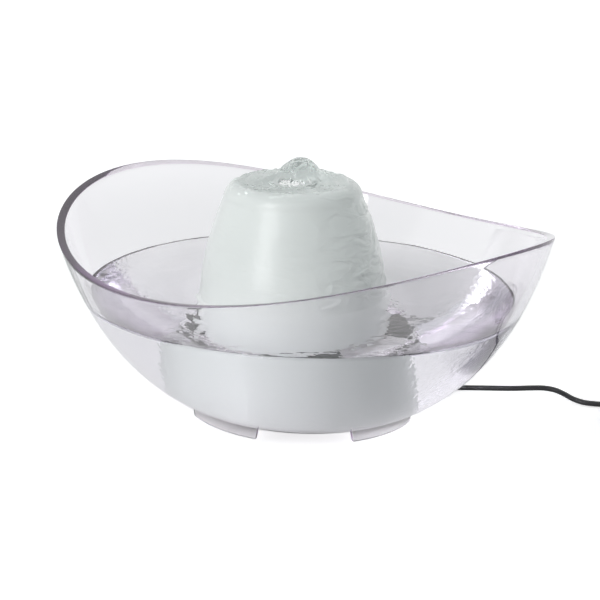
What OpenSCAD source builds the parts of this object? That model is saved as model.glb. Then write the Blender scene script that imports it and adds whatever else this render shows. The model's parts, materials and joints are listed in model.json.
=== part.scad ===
// Pet water fountain: a clear oval bowl on four curved feet, with a white pump
// dome standing in it. A submersible pump inside the dome lifts the water
// through a filter and a riser tube, and it wells up in the dome's dished top.
// Millimetres, +Z up. The origin is on the floor, under the middle of the bowl.

/* [Bowl] */
// Length over the bowl's full rounded form
bowl_l = 406; // [390:1:430]
// Width over the bowl's full rounded form
bowl_w = 365; // [350:1:390]
// Height at which the rounded form would stop widening
form_h = 230; // [215:1:260]
// How far the rounded form dips below the floor plane
form_dip = 6; // [4:0.5:7]
// Fullness of the form at its bottom
form_full = 2.7; // [2.5:0.1:3]
// Height of the rim at the two raised ends
rim_high = 154.4; // [148:0.2:165]
// Height of the rim at the two lowered sides
rim_low = 119.6; // [114:0.2:126]
// Thickness of the bowl's wall
wall = 6; // [5:0.5:7]
// Thickness of the bowl's floor
floor_t = 5.5; // [5:0.5:7]

/* [Feet] */
// Clear height below the bowl's flat bottom
foot_h = 8.5; // [8:0.5:10]
// Thickness of a foot
foot_t = 5; // [4:0.5:7]
// Draft on each side of a foot
foot_draft = 0.8; // [0.5:0.1:1.2]
// Angle that each foot spans
foot_span = 45; // [36:1:50]

/* [Dome] */
// Place of the dome's axis along the bowl
dome_x = 2; // [-3:0.5:4]
// Place of the dome's axis across the bowl
dome_y = -9; // [-10:0.5:0]
// Outer radius of the dome's foot
dome_r = 71; // [70:0.5:72]
// Height of the dome's top edge
dome_top = 172.7; // [168:0.2:180]
// How much the outer radius shrinks from foot to top
dome_taper = 25.5; // [23:0.5:27]
// Radius of the rounded shoulder
shoulder_r = 9; // [7:0.5:10]
// Depth of the dished top
dish_depth = 5; // [4:0.5:6]
// Thickness of the dome's wall
dome_wall = 3; // [2.5:0.5:3.5]

/* [Base tray and chamber] */
// Clearance between pieces that lift off each other
lift_gap = 0.4; // [0.3:0.1:0.6]
// Height of the tray's foot ring
tray_foot_h = 3; // [2.5:0.5:4]
// Thickness of the tray's plate
tray_t = 3; // [2.5:0.5:4]
// Width of the slots that let water in through the tray
slot_w = 14; // [10:1:16]
// Height of the rib that centres the dome
rib_h = 8; // [5:1:10]
// Clearance between the pump's corners and the chamber's wall
chamber_gap = 1.9; // [1.5:0.1:2.5]
// Height of the pump chamber
chamber_h = 65; // [63:1:70]
// Thickness of the chamber's wall
chamber_wall = 2; // [1.5:0.5:2.5]
// Distance from the dome's foot in to the foam ring around the chamber
foam_inset = 12; // [11:0.5:14]
// Height of the foam ring
foam_h = 40; // [30:1:46]

/* [Filter] */
// Outer radius of the filter cartridge
filter_r = 44; // [40:1:46]
// Height of the filter cartridge
filter_h = 18; // [14:1:22]
// Wall of the filter cartridge
filter_wall = 1.6; // [1.2:0.2:2]
// Length of the slots in the filter's faces
filter_slot_l = 22; // [16:1:24]

/* [Pump] */
// Length of the pump's housing
pump_l = 50; // [48:1:51]
// Width of the pump's housing
pump_w = 38; // [36:1:39]
// Height of the pump's housing
pump_h = 38; // [37:1:41]
// Length of the housing in front of the riser's axis
pump_front = 8; // [7:0.5:9]
// Height of the suction cups
cup_h = 6; // [5:0.5:8]
// Radius of a suction cup's lip
cup_r = 6; // [5:0.5:7]
// Radius of the impeller's chamber
volute_r = 14; // [13:0.5:14.5]
// Depth of the impeller's chamber
volute_d = 11; // [10:0.5:12]
// Radius of the impeller
impeller_r = 12; // [10:0.5:12.5]
// Radius of the magnet that turns the impeller
magnet_r = 7.6; // [7:0.1:7.8]
// Length of the magnet
magnet_l = 22; // [18:1:24]
// Radius of the impeller's shaft
shaft_r = 1; // [0.8:0.1:1.2]
// Radial running clearance on the shaft
shaft_fit = 0.05; // [0.03:0.01:0.08]
// Outer radius of the riser tube
riser_r = 7.5; // [7:0.5:8]
// Bore radius of the riser tube
riser_bore = 5.5; // [5:0.25:6]
// Length that the intake cover stands in front of the pump
intake_l = 10; // [8:1:12]
// Radius of the flow dial
dial_r = 11; // [9:0.5:12]

/* [Welling water] */
// Height that the water wells up above the dome's top edge
mound_rise = 17.3; // [8:0.1:20]
// Radius of the welling water at its foot
mound_r = 19; // [15:0.5:21]

/* [Cord] */
// Diameter of the cord
cord_d = 4.1; // [4:0.1:4.2]
// Distance of the cord's gland from the dome's axis
gland_y = 36; // [35:0.5:37]
// Middle radius of the coiled cord
coil_r = 22.5; // [22:0.5:24]
// Distance between the coil's neighbouring layers
layer_gap = 4.3; // [4.2:0.1:4.6]
// Distance between neighbouring turns of one layer
turn_gap = 4.25; // [4.15:0.05:4.5]
// Width of the adapter
adapter_w = 30; // [26:1:34]
// Length of the adapter
adapter_l = 44; // [40:1:50]
// Height of the adapter
adapter_h = 24; // [24:1:28]

/* [Hidden] */
$fn = 72;
eps = 0.01;

// Heights of the stack on the bowl's floor
floor_z = foot_h + floor_t;
tray_z = floor_z + tray_foot_h;
deck_z = tray_z + tray_t;
chamber_top = deck_z + chamber_h;
lid_t = 3;
filter_z = chamber_top + lid_t;
chamber_r = norm([pump_l - pump_front, pump_w / 2]) + chamber_gap + chamber_wall;
chamber_in = chamber_r - chamber_wall;
foam_r = dome_r - foam_inset;

// Bowl: half length of the rounded form at a height
form_rise = form_h + form_dip;
function bowl_x(z) = bowl_l / 2 * pow(1 - pow(1 - (z + form_dip) / form_rise, 2), 1 / form_full);
squash_y = bowl_w / bowl_l;
outer_steps = 16;
inner_steps = 14;
top_z = rim_high + 12;
function spaced(i, n, low, high) = low + (high - low) * pow(i / n, 1.5);
// Point of the inner face, one wall in from the outer form along its normal
function inner_point(z) =
    let (run = bowl_x(z + 0.5) - bowl_x(z - 0.5), long = sqrt(run * run + 1))
    [bowl_x(z) - wall / long, z + wall * run / long];
// Height on the outer form whose inner point lies on the floor
first_in = foot_h + (floor_t - wall) + 0.8;

// The rim follows a large cylinder that lies across the bowl
rim_half = bowl_x(rim_high);
rim_rise = rim_high - rim_low;
rim_cut_r = (rim_half * rim_half + rim_rise * rim_rise) / (2 * rim_rise);

// Dome: outer radius at a height
foot_band = 44;
taper_z = deck_z + foot_band;
function dome_out(z) = z < taper_z
    ? dome_r - (z - deck_z) / foot_band
    : dome_r - 1 - (dome_taper - 1) * pow((z - taper_z) / (dome_top - taper_z), 2.2);
dome_steps = 12;
shoulder_z = dome_top - shoulder_r;
dish_z = dome_top - dish_depth;
nozzle_r = riser_r + 4.5;

// Pump: places along its axis, from the riser's axis
pump_z = deck_z + cup_h;
axis_z = pump_z + pump_h / 2 + 3;
pump_back = pump_front - pump_l;
shell_t = 1.6;
volute_x = pump_front - volute_d;
well_r = magnet_r + 0.6;
well_back = pump_back + 6;
magnet_x = volute_x - 3 - magnet_l;
sleeve_r = 2.5;
hub_r = 3;
spout_r = riser_bore - 0.1;
spout_top = pump_z + pump_h + 15;
cover_t = 2;
cover_front = pump_front + cover_t;
intake_front = cover_front + intake_l;
dial_t = 3;
dial_gap = 0.3;
dial_pin_r = 3;
port_in = 5;
port = 4;
core_w = 5;
core_x = [pump_back + 9, volute_x - 6];
core_z = [pump_z + shell_t + 1, axis_z + 9];

// Gland and cord
gland = [dome_x, dome_y + gland_y];
gland_turn = 47;
gland_dir = [cos(gland_turn), sin(gland_turn)];
gland_flange_r = 8;
gland_flange_t = 2.5;
gland_stem_r = 5;
gland_hole_r = gland_stem_r + 0.3;
seal_t = 0.6;
cord_r = cord_d / 2;
elbow_r = 7;
exit_z = 4.2;
relief_l = 24;
relief_r = 3.3;
relief_end = elbow_r - 0.6 + relief_l;
cord_start = [gland[0] + relief_end * gland_dir[0], gland[1] + relief_end * gland_dir[1], exit_z];
lead_end = cord_start + 7 * [gland_dir[0], gland_dir[1], 0];
cord_z = 2.1;
cord_route = [cord_start, lead_end, [35.1, 62.3, 4.3], [47.7, 75.4, 4.6], [60.5, 88.1, 5.1],
    [73.9, 99.9, 5.7], [88.4, 110.5, 6.6], [102.7, 121.3, 7.3], [109.3, 127.4, 7.6],
    [115.3, 134.1, 7.7], [121.3, 140.6, 7.5], [128.4, 145.2, 6.6], [136.6, 146.1, 5.2],
    [145.1, 145.6, 3.8], [153.2, 147.5, 2.7], [160.1, 152, 2.2], [166.3, 156.9, cord_z],
    [171.7, 162.7, cord_z], [175.8, 169.6, cord_z]];
coil_at = [202, 165];
coil_turns = 3.25;
coil_h = coil_turns * turn_gap + cord_d;
coil_w = 2 * layer_gap + cord_d;
adapter_at = [245, 142];
adapter_mid = adapter_h / 2;
adapter_relief_l = 18;
// The tail spirals out over the top of the coil, from its inner layer
tail_steps = 14;
tail_top = coil_h + cord_r - 0.2;
function eased(t) = let (u = min(max(t, 0), 1)) u * u * (3 - 2 * u);
function tail_point(t) =
    let (r = coil_r - layer_gap + (adapter_at[0] - coil_at[0] - coil_r + layer_gap) * eased(t),
         z = coil_h - cord_d / 2 - 1.2 + (tail_top - coil_h + cord_d / 2 + 1.2) * eased(t / 0.3)
             - (tail_top - adapter_mid) * eased((t - 0.5) / 0.47))
    [coil_at[0] + r * cos(180 - 180 * t), coil_at[1] + r * sin(180 - 180 * t), z];
tail_route = concat([for (i = [0 : tail_steps]) tail_point(i / tail_steps)],
    [[adapter_at[0], adapter_at[1] + adapter_relief_l, adapter_mid]]);
pump_relief_l = 9;
pump_cord_x = -28;
pump_cord_z = pump_z + 9;
inner_route = [[pump_cord_x, pump_w / 2 + pump_relief_l, pump_cord_z], [pump_cord_x, 31, pump_cord_z],
    [-25, 35.5, 33.5], [-19, 38.5, 31.5], [-12, 39.5, 29], [-6, 38.5, 26],
    [-1.6, 36.9, 23], [0, gland_y, 20], [0, gland_y, floor_z + gland_flange_t]];

// Tube swept along a route of points, with rings square to the route
ring_sides = 8;
function unit(v) = v / norm(v);
function ahead(route, i) =
    i == 0 ? unit(route[1] - route[0])
    : i == len(route) - 1 ? unit(route[i] - route[i - 1])
    : unit(unit(route[i + 1] - route[i]) + unit(route[i] - route[i - 1]));
function side_of(d) = abs(d[2]) > 0.9 ? unit(cross(d, [1, 0, 0])) : unit(cross(d, [0, 0, 1]));
function ring_points(p, d, r) =
    let (a = side_of(d), b = cross(a, d))
    [for (k = [0 : ring_sides - 1])
        p + r * cos(360 * k / ring_sides) * a + r * sin(360 * k / ring_sides) * b];
module tube(route, r) {
    rings = len(route);
    points = [for (i = [0 : rings - 1]) each ring_points(route[i], ahead(route, i), r)];
    walls = [for (i = [0 : rings - 2], k = [0 : ring_sides - 1])
        let (a = i * ring_sides + k, b = i * ring_sides + (k + 1) % ring_sides)
        [a, b, b + ring_sides, a + ring_sides]];
    start_cap = [for (k = [ring_sides - 1 : -1 : 0]) k];
    end_cap = [for (k = [0 : ring_sides - 1]) (rings - 1) * ring_sides + k];
    polyhedron(points = points, faces = concat([start_cap], walls, [end_cap]), convexity = 8);
}
function midpoint(a, b) = (a + b) / 2;
// Same route with a curved point between each pair, and straight ends
function finer(route) = [for (i = [0 : len(route) - 2]) each [route[i],
    i == 0 || i == len(route) - 2 ? midpoint(route[i], route[i + 1])
    : 9 / 8 * midpoint(route[i], route[i + 1]) - 1 / 8 * midpoint(route[i - 1], route[i + 2])],
    route[len(route) - 1]];

module at_dome() {
    translate([dome_x, dome_y, 0]) children();
}
// Cylinder along +X from a point on the pump's axis
module along_x(x, r, l) {
    translate([x, 0, axis_z]) rotate([0, 90, 0]) cylinder(r = r, h = l);
}
module ring(r_out, r_in, z, h) {
    translate([0, 0, z]) difference() {
        cylinder(r = r_out, h = h);
        translate([0, 0, -eps]) cylinder(r = r_in, h = h + 2 * eps);
    }
}
module block(low, high) {
    translate(low) cube(high - low);
}

// Outer form down to the floor, with one foot ring all the way round
module bowl_form() {
    ring_out = bowl_x(foot_h);
    ring_in = ring_out - foot_t;
    ring = [[0, foot_h], [ring_in, foot_h], [ring_in + foot_draft, 0], [ring_out - foot_draft, 0]];
    steps = [for (i = [0 : outer_steps]) spaced(i, outer_steps, foot_h, top_z)];
    rotate_extrude()
        polygon(concat(ring, [for (z = steps) [bowl_x(z), z]], [[0, top_z]]));
}
module bowl_space() {
    steps = [for (i = [1 : inner_steps]) inner_point(spaced(i, inner_steps, first_in, top_z))];
    last = steps[inner_steps - 1];
    base = inner_point(first_in);
    rotate_extrude()
        polygon(concat([[0, floor_z], [base[0] - 1, floor_z]], steps, [[0, last[1]]]));
}
// Space between two feet, which opens outwards from the middle
module foot_gap() {
    half = (90 - foot_span) / 2;
    reach = bowl_l / 3;
    translate([0, 0, -1]) linear_extrude(foot_h + 1)
        polygon([[0, 0], [reach * cos(half), -reach * sin(half)], [reach * cos(half), reach * sin(half)]]);
}
// The bowl before its plan is made oval
module round_bowl() {
    difference() {
        bowl_form();
        bowl_space();
        for (turn = [45 : 90 : 315]) rotate([0, 0, turn]) foot_gap();
        translate([0, 0, rim_low + rim_cut_r]) rotate([90, 0, 0])
            cylinder(r = rim_cut_r, h = 1.1 * bowl_l, center = true, $fn = 240);
    }
}
module bowl() {
    color([0.93, 0.92, 0.96, 0.35]) difference() {
        resize([0, 2 * bowl_x(rim_low) * squash_y, 0]) round_bowl();
        translate([gland[0], gland[1], foot_h - 1]) cylinder(r = gland_hole_r, h = floor_t + 2);
    }
}

slot_count = 12;
slot_l = 3;
slot_from = foam_r + 2;
tray_foot_r = dome_r - 15;
tray_foot_t = 4;
notch_w = 20;
rib_t = 1.6;
cord_hole_r = 6;
module base_tray() {
    rib_out = dome_r - dome_wall - lift_gap;
    color("white") at_dome() difference() {
        union() {
            ring(tray_foot_r, tray_foot_r - tray_foot_t, floor_z, tray_foot_h + eps);
            translate([0, 0, tray_z]) cylinder(r = dome_r, h = tray_t);
            ring(rib_out, rib_out - rib_t, deck_z - eps, rib_h + eps);
        }
        for (i = [0 : slot_count - 1]) rotate([0, 0, 360 * i / slot_count])
            translate([slot_from, -slot_w / 2, floor_z - 1]) cube([slot_l, slot_w, deck_z]);
        for (i = [0 : 3]) rotate([0, 0, 45 + 90 * i])
            translate([tray_foot_r - tray_foot_t - 2, -notch_w / 2, floor_z - 1])
                cube([tray_foot_t + 4, notch_w, tray_foot_h + 1]);
        translate([0, gland_y, floor_z]) cylinder(r = cord_hole_r, h = tray_foot_h + tray_t + 1);
    }
}

module dome() {
    steps = [for (i = [0 : dome_steps]) deck_z + (shoulder_z - deck_z) * i / dome_steps];
    edge = dome_out(shoulder_z);
    arc_x = edge - shoulder_r;
    inner_r = shoulder_r - dome_wall;
    lip = arc_x - dome_wall;
    color([0.93, 0.95, 0.94]) at_dome() rotate_extrude() polygon(concat(
        [for (z = steps) [dome_out(z), z]],
        [for (a = [15 : 15 : 90]) [arc_x + shoulder_r * cos(a), shoulder_z + shoulder_r * sin(a)]],
        [[lip, dome_top - 1], [nozzle_r + 4, dish_z], [nozzle_r, dish_z]],
        [[nozzle_r, dish_z - dome_wall], [lip - 2, dish_z - dome_wall]],
        [for (a = [90 : -30 : 0]) [arc_x + inner_r * cos(a), shoulder_z - 1 + inner_r * sin(a)]],
        [for (i = [dome_steps - 1 : -1 : 0]) [dome_out(steps[i]) - dome_wall, steps[i]]]));
}
nozzle_l = 10;
nozzle_bore = riser_r + 1;
lip_r = nozzle_r + 2.5;
lip_t = 1.5;
clip_t = 2;
module outlet_nozzle() {
    color("gainsboro") at_dome() {
        ring(nozzle_r, nozzle_bore, dish_z - nozzle_l, nozzle_l);
        ring(lip_r, nozzle_bore, dish_z - clip_t - dome_wall, clip_t);
        ring(lip_r, nozzle_bore, dish_z, lip_t);
    }
}
riser_z = pump_z + pump_h + 3;
module riser_tube() {
    color([0.85, 0.87, 0.88]) at_dome() ring(riser_r, riser_bore, riser_z, dish_z - 4 - riser_z);
}
// Water that wells up through the nozzle, rests on its lip and rounds over
mound_steps = 10;
module water_mound() {
    foot = dish_z + lip_t;
    crown = dome_top + mound_rise;
    color([0.8, 0.88, 0.92, 0.6]) at_dome() rotate_extrude() polygon(concat(
        [[0, foot], [mound_r - 1, foot]],
        [for (i = [0 : mound_steps]) let (t = i / mound_steps)
            [mound_r * pow(1 - t, 0.75), foot + 0.8 + (crown - foot - 0.8) * pow(t, 0.8)]]));
}

window_edge = 5;
module pump_chamber() {
    color("white") at_dome() difference() {
        ring(chamber_r, chamber_in, deck_z, chamber_h);
        for (i = [0 : slot_count - 1]) rotate([0, 0, 360 * (i + 0.5) / slot_count])
            translate([chamber_in - 1, -slot_w / 2, deck_z + window_edge])
                cube([chamber_wall + 2, slot_w, foam_h - 2 * window_edge]);
    }
}
plug_h = 4;
vents = 8;
vent_from = 18;
vent_l = 18;
vent_w = 6;
module chamber_lid() {
    color("whitesmoke") at_dome() difference() {
        union() {
            translate([0, 0, chamber_top]) cylinder(r = chamber_r, h = lid_t);
            ring(chamber_in - lift_gap, chamber_in - lift_gap - rib_t, chamber_top - plug_h, plug_h + eps);
        }
        translate([0, 0, chamber_top - 1]) cylinder(r = riser_r + lift_gap, h = lid_t + 2);
        for (i = [0 : vents - 1]) rotate([0, 0, 360 * i / vents])
            translate([vent_from, -vent_w / 2, chamber_top - 1]) cube([vent_l, vent_w, lid_t + 2]);
    }
}
filter_bore = riser_r + 1.5;
filter_slot_w = 5;
// Slots through one face of the filter, from a height
module filter_slots(z) {
    for (i = [0 : slot_count - 1]) rotate([0, 0, 360 * i / slot_count])
        translate([filter_r - filter_slot_l - 6, -filter_slot_w / 2, z])
            cube([filter_slot_l, filter_slot_w, filter_wall + 2]);
}
module filter_case() {
    color("white") at_dome() difference() {
        translate([0, 0, filter_z]) cylinder(r = filter_r, h = filter_h - filter_wall);
        ring(filter_r - filter_wall, filter_bore + filter_wall, filter_z + filter_wall, filter_h);
        translate([0, 0, filter_z - 1]) cylinder(r = filter_bore, h = filter_h + 2);
        filter_slots(filter_z - 1);
    }
}
module filter_carbon() {
    color([0.12, 0.12, 0.13]) at_dome()
        ring(filter_r - filter_wall - 0.3, filter_bore + filter_wall + 0.3,
             filter_z + filter_wall, filter_h - 2 * filter_wall - 0.5);
}
module filter_cover() {
    color("white") at_dome() difference() {
        translate([0, 0, filter_z + filter_h - filter_wall]) cylinder(r = filter_r, h = filter_wall);
        translate([0, 0, filter_z]) cylinder(r = filter_bore, h = filter_h + 2);
        filter_slots(filter_z + filter_h - filter_wall - 1);
    }
}
foam_gap = 0.3;
module foam_ring() {
    color([0.25, 0.27, 0.3]) at_dome()
        ring(foam_r, chamber_r + foam_gap, deck_z, foam_h);
}

module pump_housing() {
    half = pump_w / 2;
    inside = half - shell_t;
    color([0.16, 0.16, 0.17]) at_dome() difference() {
        union() {
            block([pump_back + shell_t, -half, pump_z], [pump_front, half, pump_z + pump_h]);
            translate([0, 0, pump_z + pump_h - eps]) cylinder(r = spout_r, h = spout_top - pump_z - pump_h);
        }
        difference() {
            block([pump_back - 1, -inside, pump_z + shell_t],
                  [volute_x - shell_t, inside, pump_z + pump_h - shell_t]);
            along_x(well_back - shell_t, well_r + well_wall, volute_x - well_back + shell_t);
        }
        along_x(well_back, well_r, pump_front - well_back);
        along_x(volute_x, volute_r, volute_d + 1);
        translate([0, 0, axis_z]) cylinder(r = spout_r - 1.4, h = spout_top);
        translate([pump_cord_x, inside - 1, pump_cord_z]) rotate([-90, 0, 0])
            cylinder(r = cord_r + 1, h = shell_t + 3);
    }
}
module pump_back_cover() {
    half = pump_w / 2;
    color([0.16, 0.16, 0.17]) at_dome()
        block([pump_back, -half, pump_z], [pump_back + shell_t, half, pump_z + pump_h]);
}
core_in = well_r + 1.6;
yoke = [core_z[0] + 1, core_z[0] + 5];
coil_low = core_z[0] - 0.6;
coil_high = core_z[0] + 7;
coil_end = 2;
well_wall = 1.2;
module stator_core() {
    color([0.5, 0.5, 0.52]) at_dome() {
        for (s = [-1, 1])
            block([core_x[0], s * (core_in + core_w / 2) - core_w / 2, core_z[0]],
                  [core_x[1], s * (core_in + core_w / 2) + core_w / 2, core_z[1]]);
        block([core_x[0], -core_in - eps, yoke[0]], [core_x[1], core_in + eps, yoke[1]]);
    }
}
module stator_coil() {
    color([0.72, 0.38, 0.2]) at_dome() difference() {
        block([core_x[0] - coil_end, -core_in + 0.3, coil_low],
              [core_x[1] + coil_end, core_in - 0.3, coil_high]);
        block([core_x[0], -core_in, yoke[0]], [core_x[1], core_in, yoke[1]]);
    }
}
module potting() {
    inside = pump_w / 2 - shell_t;
    color([0.1, 0.1, 0.1]) at_dome() difference() {
        block([pump_back + shell_t, -inside, pump_z + shell_t],
              [volute_x - shell_t, inside, pump_z + pump_h - shell_t]);
        along_x(well_back - shell_t, well_r + well_wall, volute_x - well_back + shell_t);
        for (s = [-1, 1])
            block([core_x[0], s * (core_in + core_w / 2) - core_w / 2, core_z[0]],
                  [core_x[1], s * (core_in + core_w / 2) + core_w / 2, core_z[1]]);
        block([core_x[0] - coil_end, -core_in, coil_low], [core_x[1] + coil_end, core_in, coil_high]);
    }
}
module rotor_magnet() {
    color([0.2, 0.2, 0.22]) at_dome() difference() {
        along_x(magnet_x, magnet_r, magnet_l);
        along_x(magnet_x - 1, sleeve_r, magnet_l + 2);
    }
}
blade_count = 5;
blade_t = 1.2;
blade_w = 5;
disc_t = 1.6;
module impeller() {
    disc_x = volute_x + 1;
    color([0.9, 0.9, 0.88]) at_dome() difference() {
        union() {
            along_x(magnet_x, sleeve_r, disc_x - magnet_x + eps);
            along_x(disc_x, impeller_r, disc_t);
            along_x(disc_x + disc_t - eps, hub_r, blade_w);
            for (i = [0 : blade_count - 1])
                translate([disc_x + disc_t - eps, 0, axis_z]) rotate([360 * i / blade_count, 0, 0])
                    translate([0, -blade_t / 2, 2]) cube([blade_w, blade_t, impeller_r - 2.5]);
        }
        along_x(magnet_x - 1, shaft_r + shaft_fit, volute_d + magnet_l + 10);
    }
}
bush_r = 4;
bush_l = 3;
module impeller_shaft() {
    color("silver") at_dome()
        along_x(well_back + 0.5, shaft_r, pump_front - 0.5 - well_back + cover_t - 1);
}
module rear_bush() {
    color([0.15, 0.15, 0.15]) at_dome() difference() {
        along_x(well_back, well_r - 0.1, bush_l);
        along_x(well_back + 0.5, shaft_r, bush_l + 1);
    }
}
module front_bush() {
    color([0.15, 0.15, 0.15]) at_dome() difference() {
        along_x(pump_front - 1, bush_r - 0.1, cover_t + 0.5);
        along_x(pump_front - 2, shaft_r, cover_t + 1);
    }
}
module volute_cover() {
    half = pump_w / 2;
    color([0.2, 0.2, 0.21]) at_dome() difference() {
        union() {
            block([pump_front, -half + 2, pump_z + 2], [cover_front, half - 2, pump_z + pump_h - 0.5]);
            along_x(pump_front - 1.5, bush_r + 1.2, 2);
        }
        along_x(pump_front - 3, bush_r - 0.1, 6);
        for (i = [0 : 3]) translate([pump_front - 2, 0, axis_z]) rotate([45 + 90 * i, 0, 0])
            translate([0, -2.5, bush_r + 1]) cube([cover_t + 4, 5, 4]);
    }
}
module o_ring() {
    color("black") at_dome() translate([pump_front - 0.7, 0, axis_z]) rotate([0, 90, 0])
        ring(volute_r - 0.1, volute_r - 1.6, -0.7, 1.4);
}
bar_pitch = 4.4;
module intake_cover() {
    half = pump_w / 2 - 2;
    z_low = pump_z + 2;
    z_high = pump_z + pump_h - 0.5;
    color([0.2, 0.2, 0.21]) at_dome() difference() {
        block([cover_front, -half, z_low], [intake_front, half, z_high]);
        block([cover_front - 1, -half + 1.6, z_low + 1.6], [intake_front - 1.6, half - 1.6, z_high - 1.6]);
        for (i = [-3 : 3])
            block([cover_front + 2, i * bar_pitch - 1, z_low - 1], [intake_front - 2, i * bar_pitch + 1, z_high + 1]);
        along_x(intake_front - 3, dial_pin_r, 6);
        for (i = [0 : 2]) translate([intake_front - 3, 0, axis_z]) rotate([120 * i, 0, 0])
            translate([0, -port / 2, port_in]) cube([6, port, port]);
    }
}
module flow_dial() {
    color([0.75, 0.76, 0.78]) at_dome() difference() {
        union() {
            along_x(intake_front + dial_gap, dial_r, dial_t);
            along_x(intake_front - 1.6, dial_pin_r - 0.1, 3);
            translate([intake_front + dial_gap, -1.2, axis_z + 4]) cube([dial_t + 2, 2.4, dial_r - 2]);
        }
        for (i = [0 : 2]) translate([intake_front - 1, 0, axis_z]) rotate([60 + 120 * i, 0, 0])
            translate([0, -port / 2, port_in]) cube([6, port, port]);
    }
}
module suction_cups() {
    inset = cup_r + 2;
    neck = cup_h / 3;
    out = pump_w / 2 - cup_r - 1;
    color([0.3, 0.31, 0.33]) at_dome()
        for (x = [pump_back + inset, pump_front - inset], y = [-out, out]) translate([x, y, deck_z]) {
            cylinder(r1 = cup_r, r2 = cup_r / 2, h = cup_h - neck);
            translate([0, 0, cup_h - neck - eps]) cylinder(r = cup_r / 2, h = neck + eps);
        }
}
module pump_strain_relief() {
    color([0.1, 0.1, 0.1]) at_dome() translate([pump_cord_x, pump_w / 2, pump_cord_z]) rotate([-90, 0, 0])
        cylinder(r1 = cord_r + 1.6, r2 = cord_r + 0.6, h = pump_relief_l);
}
module inner_cord() {
    color([0.08, 0.08, 0.08]) at_dome() tube(finer(inner_route), cord_r);
}

module cord_gland() {
    color([0.1, 0.1, 0.1]) translate([gland[0], gland[1], 0]) {
        translate([0, 0, floor_z + seal_t]) cylinder(r = gland_flange_r, h = gland_flange_t - seal_t);
        translate([0, 0, foot_h]) cylinder(r = gland_stem_r, h = floor_t + 1);
    }
}
module gland_seal() {
    color([0.2, 0.2, 0.2]) translate([gland[0], gland[1], 0])
        ring(gland_flange_r, gland_hole_r, floor_z, seal_t);
}
module gland_elbow() {
    color([0.1, 0.1, 0.1]) translate([gland[0], gland[1], 0]) difference() {
        translate([0, 0, 0.6]) cylinder(r = elbow_r, h = foot_h - 0.6);
        rotate([0, 0, gland_turn]) block([elbow_r - 0.6, -elbow_r, -1], [elbow_r + 1, elbow_r, foot_h + 1]);
    }
}
module cord_strain_relief() {
    color([0.1, 0.1, 0.1]) translate([gland[0], gland[1], exit_z]) rotate([0, 0, gland_turn])
        translate([elbow_r - 0.6, 0, 0]) rotate([0, 90, 0])
            cylinder(r1 = relief_r, r2 = cord_r + 0.4, h = relief_l);
}
module cord() {
    color([0.06, 0.06, 0.06]) tube(finer(cord_route), cord_r);
}
module cord_coil() {
    color([0.06, 0.06, 0.06]) translate([coil_at[0], coil_at[1], 0])
        rotate_extrude() translate([coil_r - coil_w / 2, 0]) square([coil_w, coil_h]);
}
module cord_tail() {
    color([0.06, 0.06, 0.06]) tube(finer(tail_route), cord_r);
}
module adapter_strain_relief() {
    color([0.08, 0.08, 0.08]) translate([adapter_at[0], adapter_at[1], adapter_mid]) rotate([-90, 0, 0])
        cylinder(r1 = 4, r2 = cord_r + 0.4, h = adapter_relief_l);
}
adapter_front_l = 10;
adapter_wall = 2;
module adapter_box(y_low, y_high) {
    block([adapter_at[0] - adapter_w / 2, y_low, 0], [adapter_at[0] + adapter_w / 2, y_high, adapter_h]);
}
module adapter_shell() {
    back = adapter_at[1];
    seam = back - adapter_l + adapter_front_l;
    color([0.08, 0.08, 0.08]) difference() {
        adapter_box(seam, back);
        block([adapter_at[0] - adapter_w / 2 + adapter_wall, seam - 1, adapter_wall],
              [adapter_at[0] + adapter_w / 2 - adapter_wall, back - adapter_wall, adapter_h - adapter_wall]);
    }
}
module adapter_front() {
    front = adapter_at[1] - adapter_l;
    color([0.1, 0.1, 0.1]) adapter_box(front, front + adapter_front_l);
}
prong_gap = 12.7;
prong_l = 16;
module adapter_prongs() {
    front = adapter_at[1] - adapter_l;
    color([0.78, 0.74, 0.6]) for (s = [-1, 1])
        translate([adapter_at[0] + s * prong_gap / 2 - 0.75, front - prong_l, adapter_mid - 3.15])
            cube([1.5, prong_l, 6.3]);
}

bowl();
base_tray();
dome();
outlet_nozzle();
riser_tube();
pump_chamber();
chamber_lid();
filter_case();
filter_carbon();
filter_cover();
foam_ring();
pump_housing();
pump_back_cover();
stator_core();
stator_coil();
potting();
rotor_magnet();
impeller();
impeller_shaft();
rear_bush();
front_bush();
volute_cover();
o_ring();
intake_cover();
flow_dial();
suction_cups();
pump_strain_relief();
inner_cord();
cord_gland();
gland_seal();
gland_elbow();
cord_strain_relief();
cord();
cord_coil();
cord_tail();
adapter_strain_relief();
adapter_shell();
adapter_front();
adapter_prongs();
water_mound();
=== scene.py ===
"""Looks of a pet water fountain: a clear oval bowl, a white dome over the pump, water and a cord.

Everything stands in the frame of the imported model. Shapes are worked out in millimetres and made in metres.
The calls at the bottom say in which order the pieces are made.
"""

import json
import math

import bpy
import numpy as np
from mathutils import Matrix, Vector, noise


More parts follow.
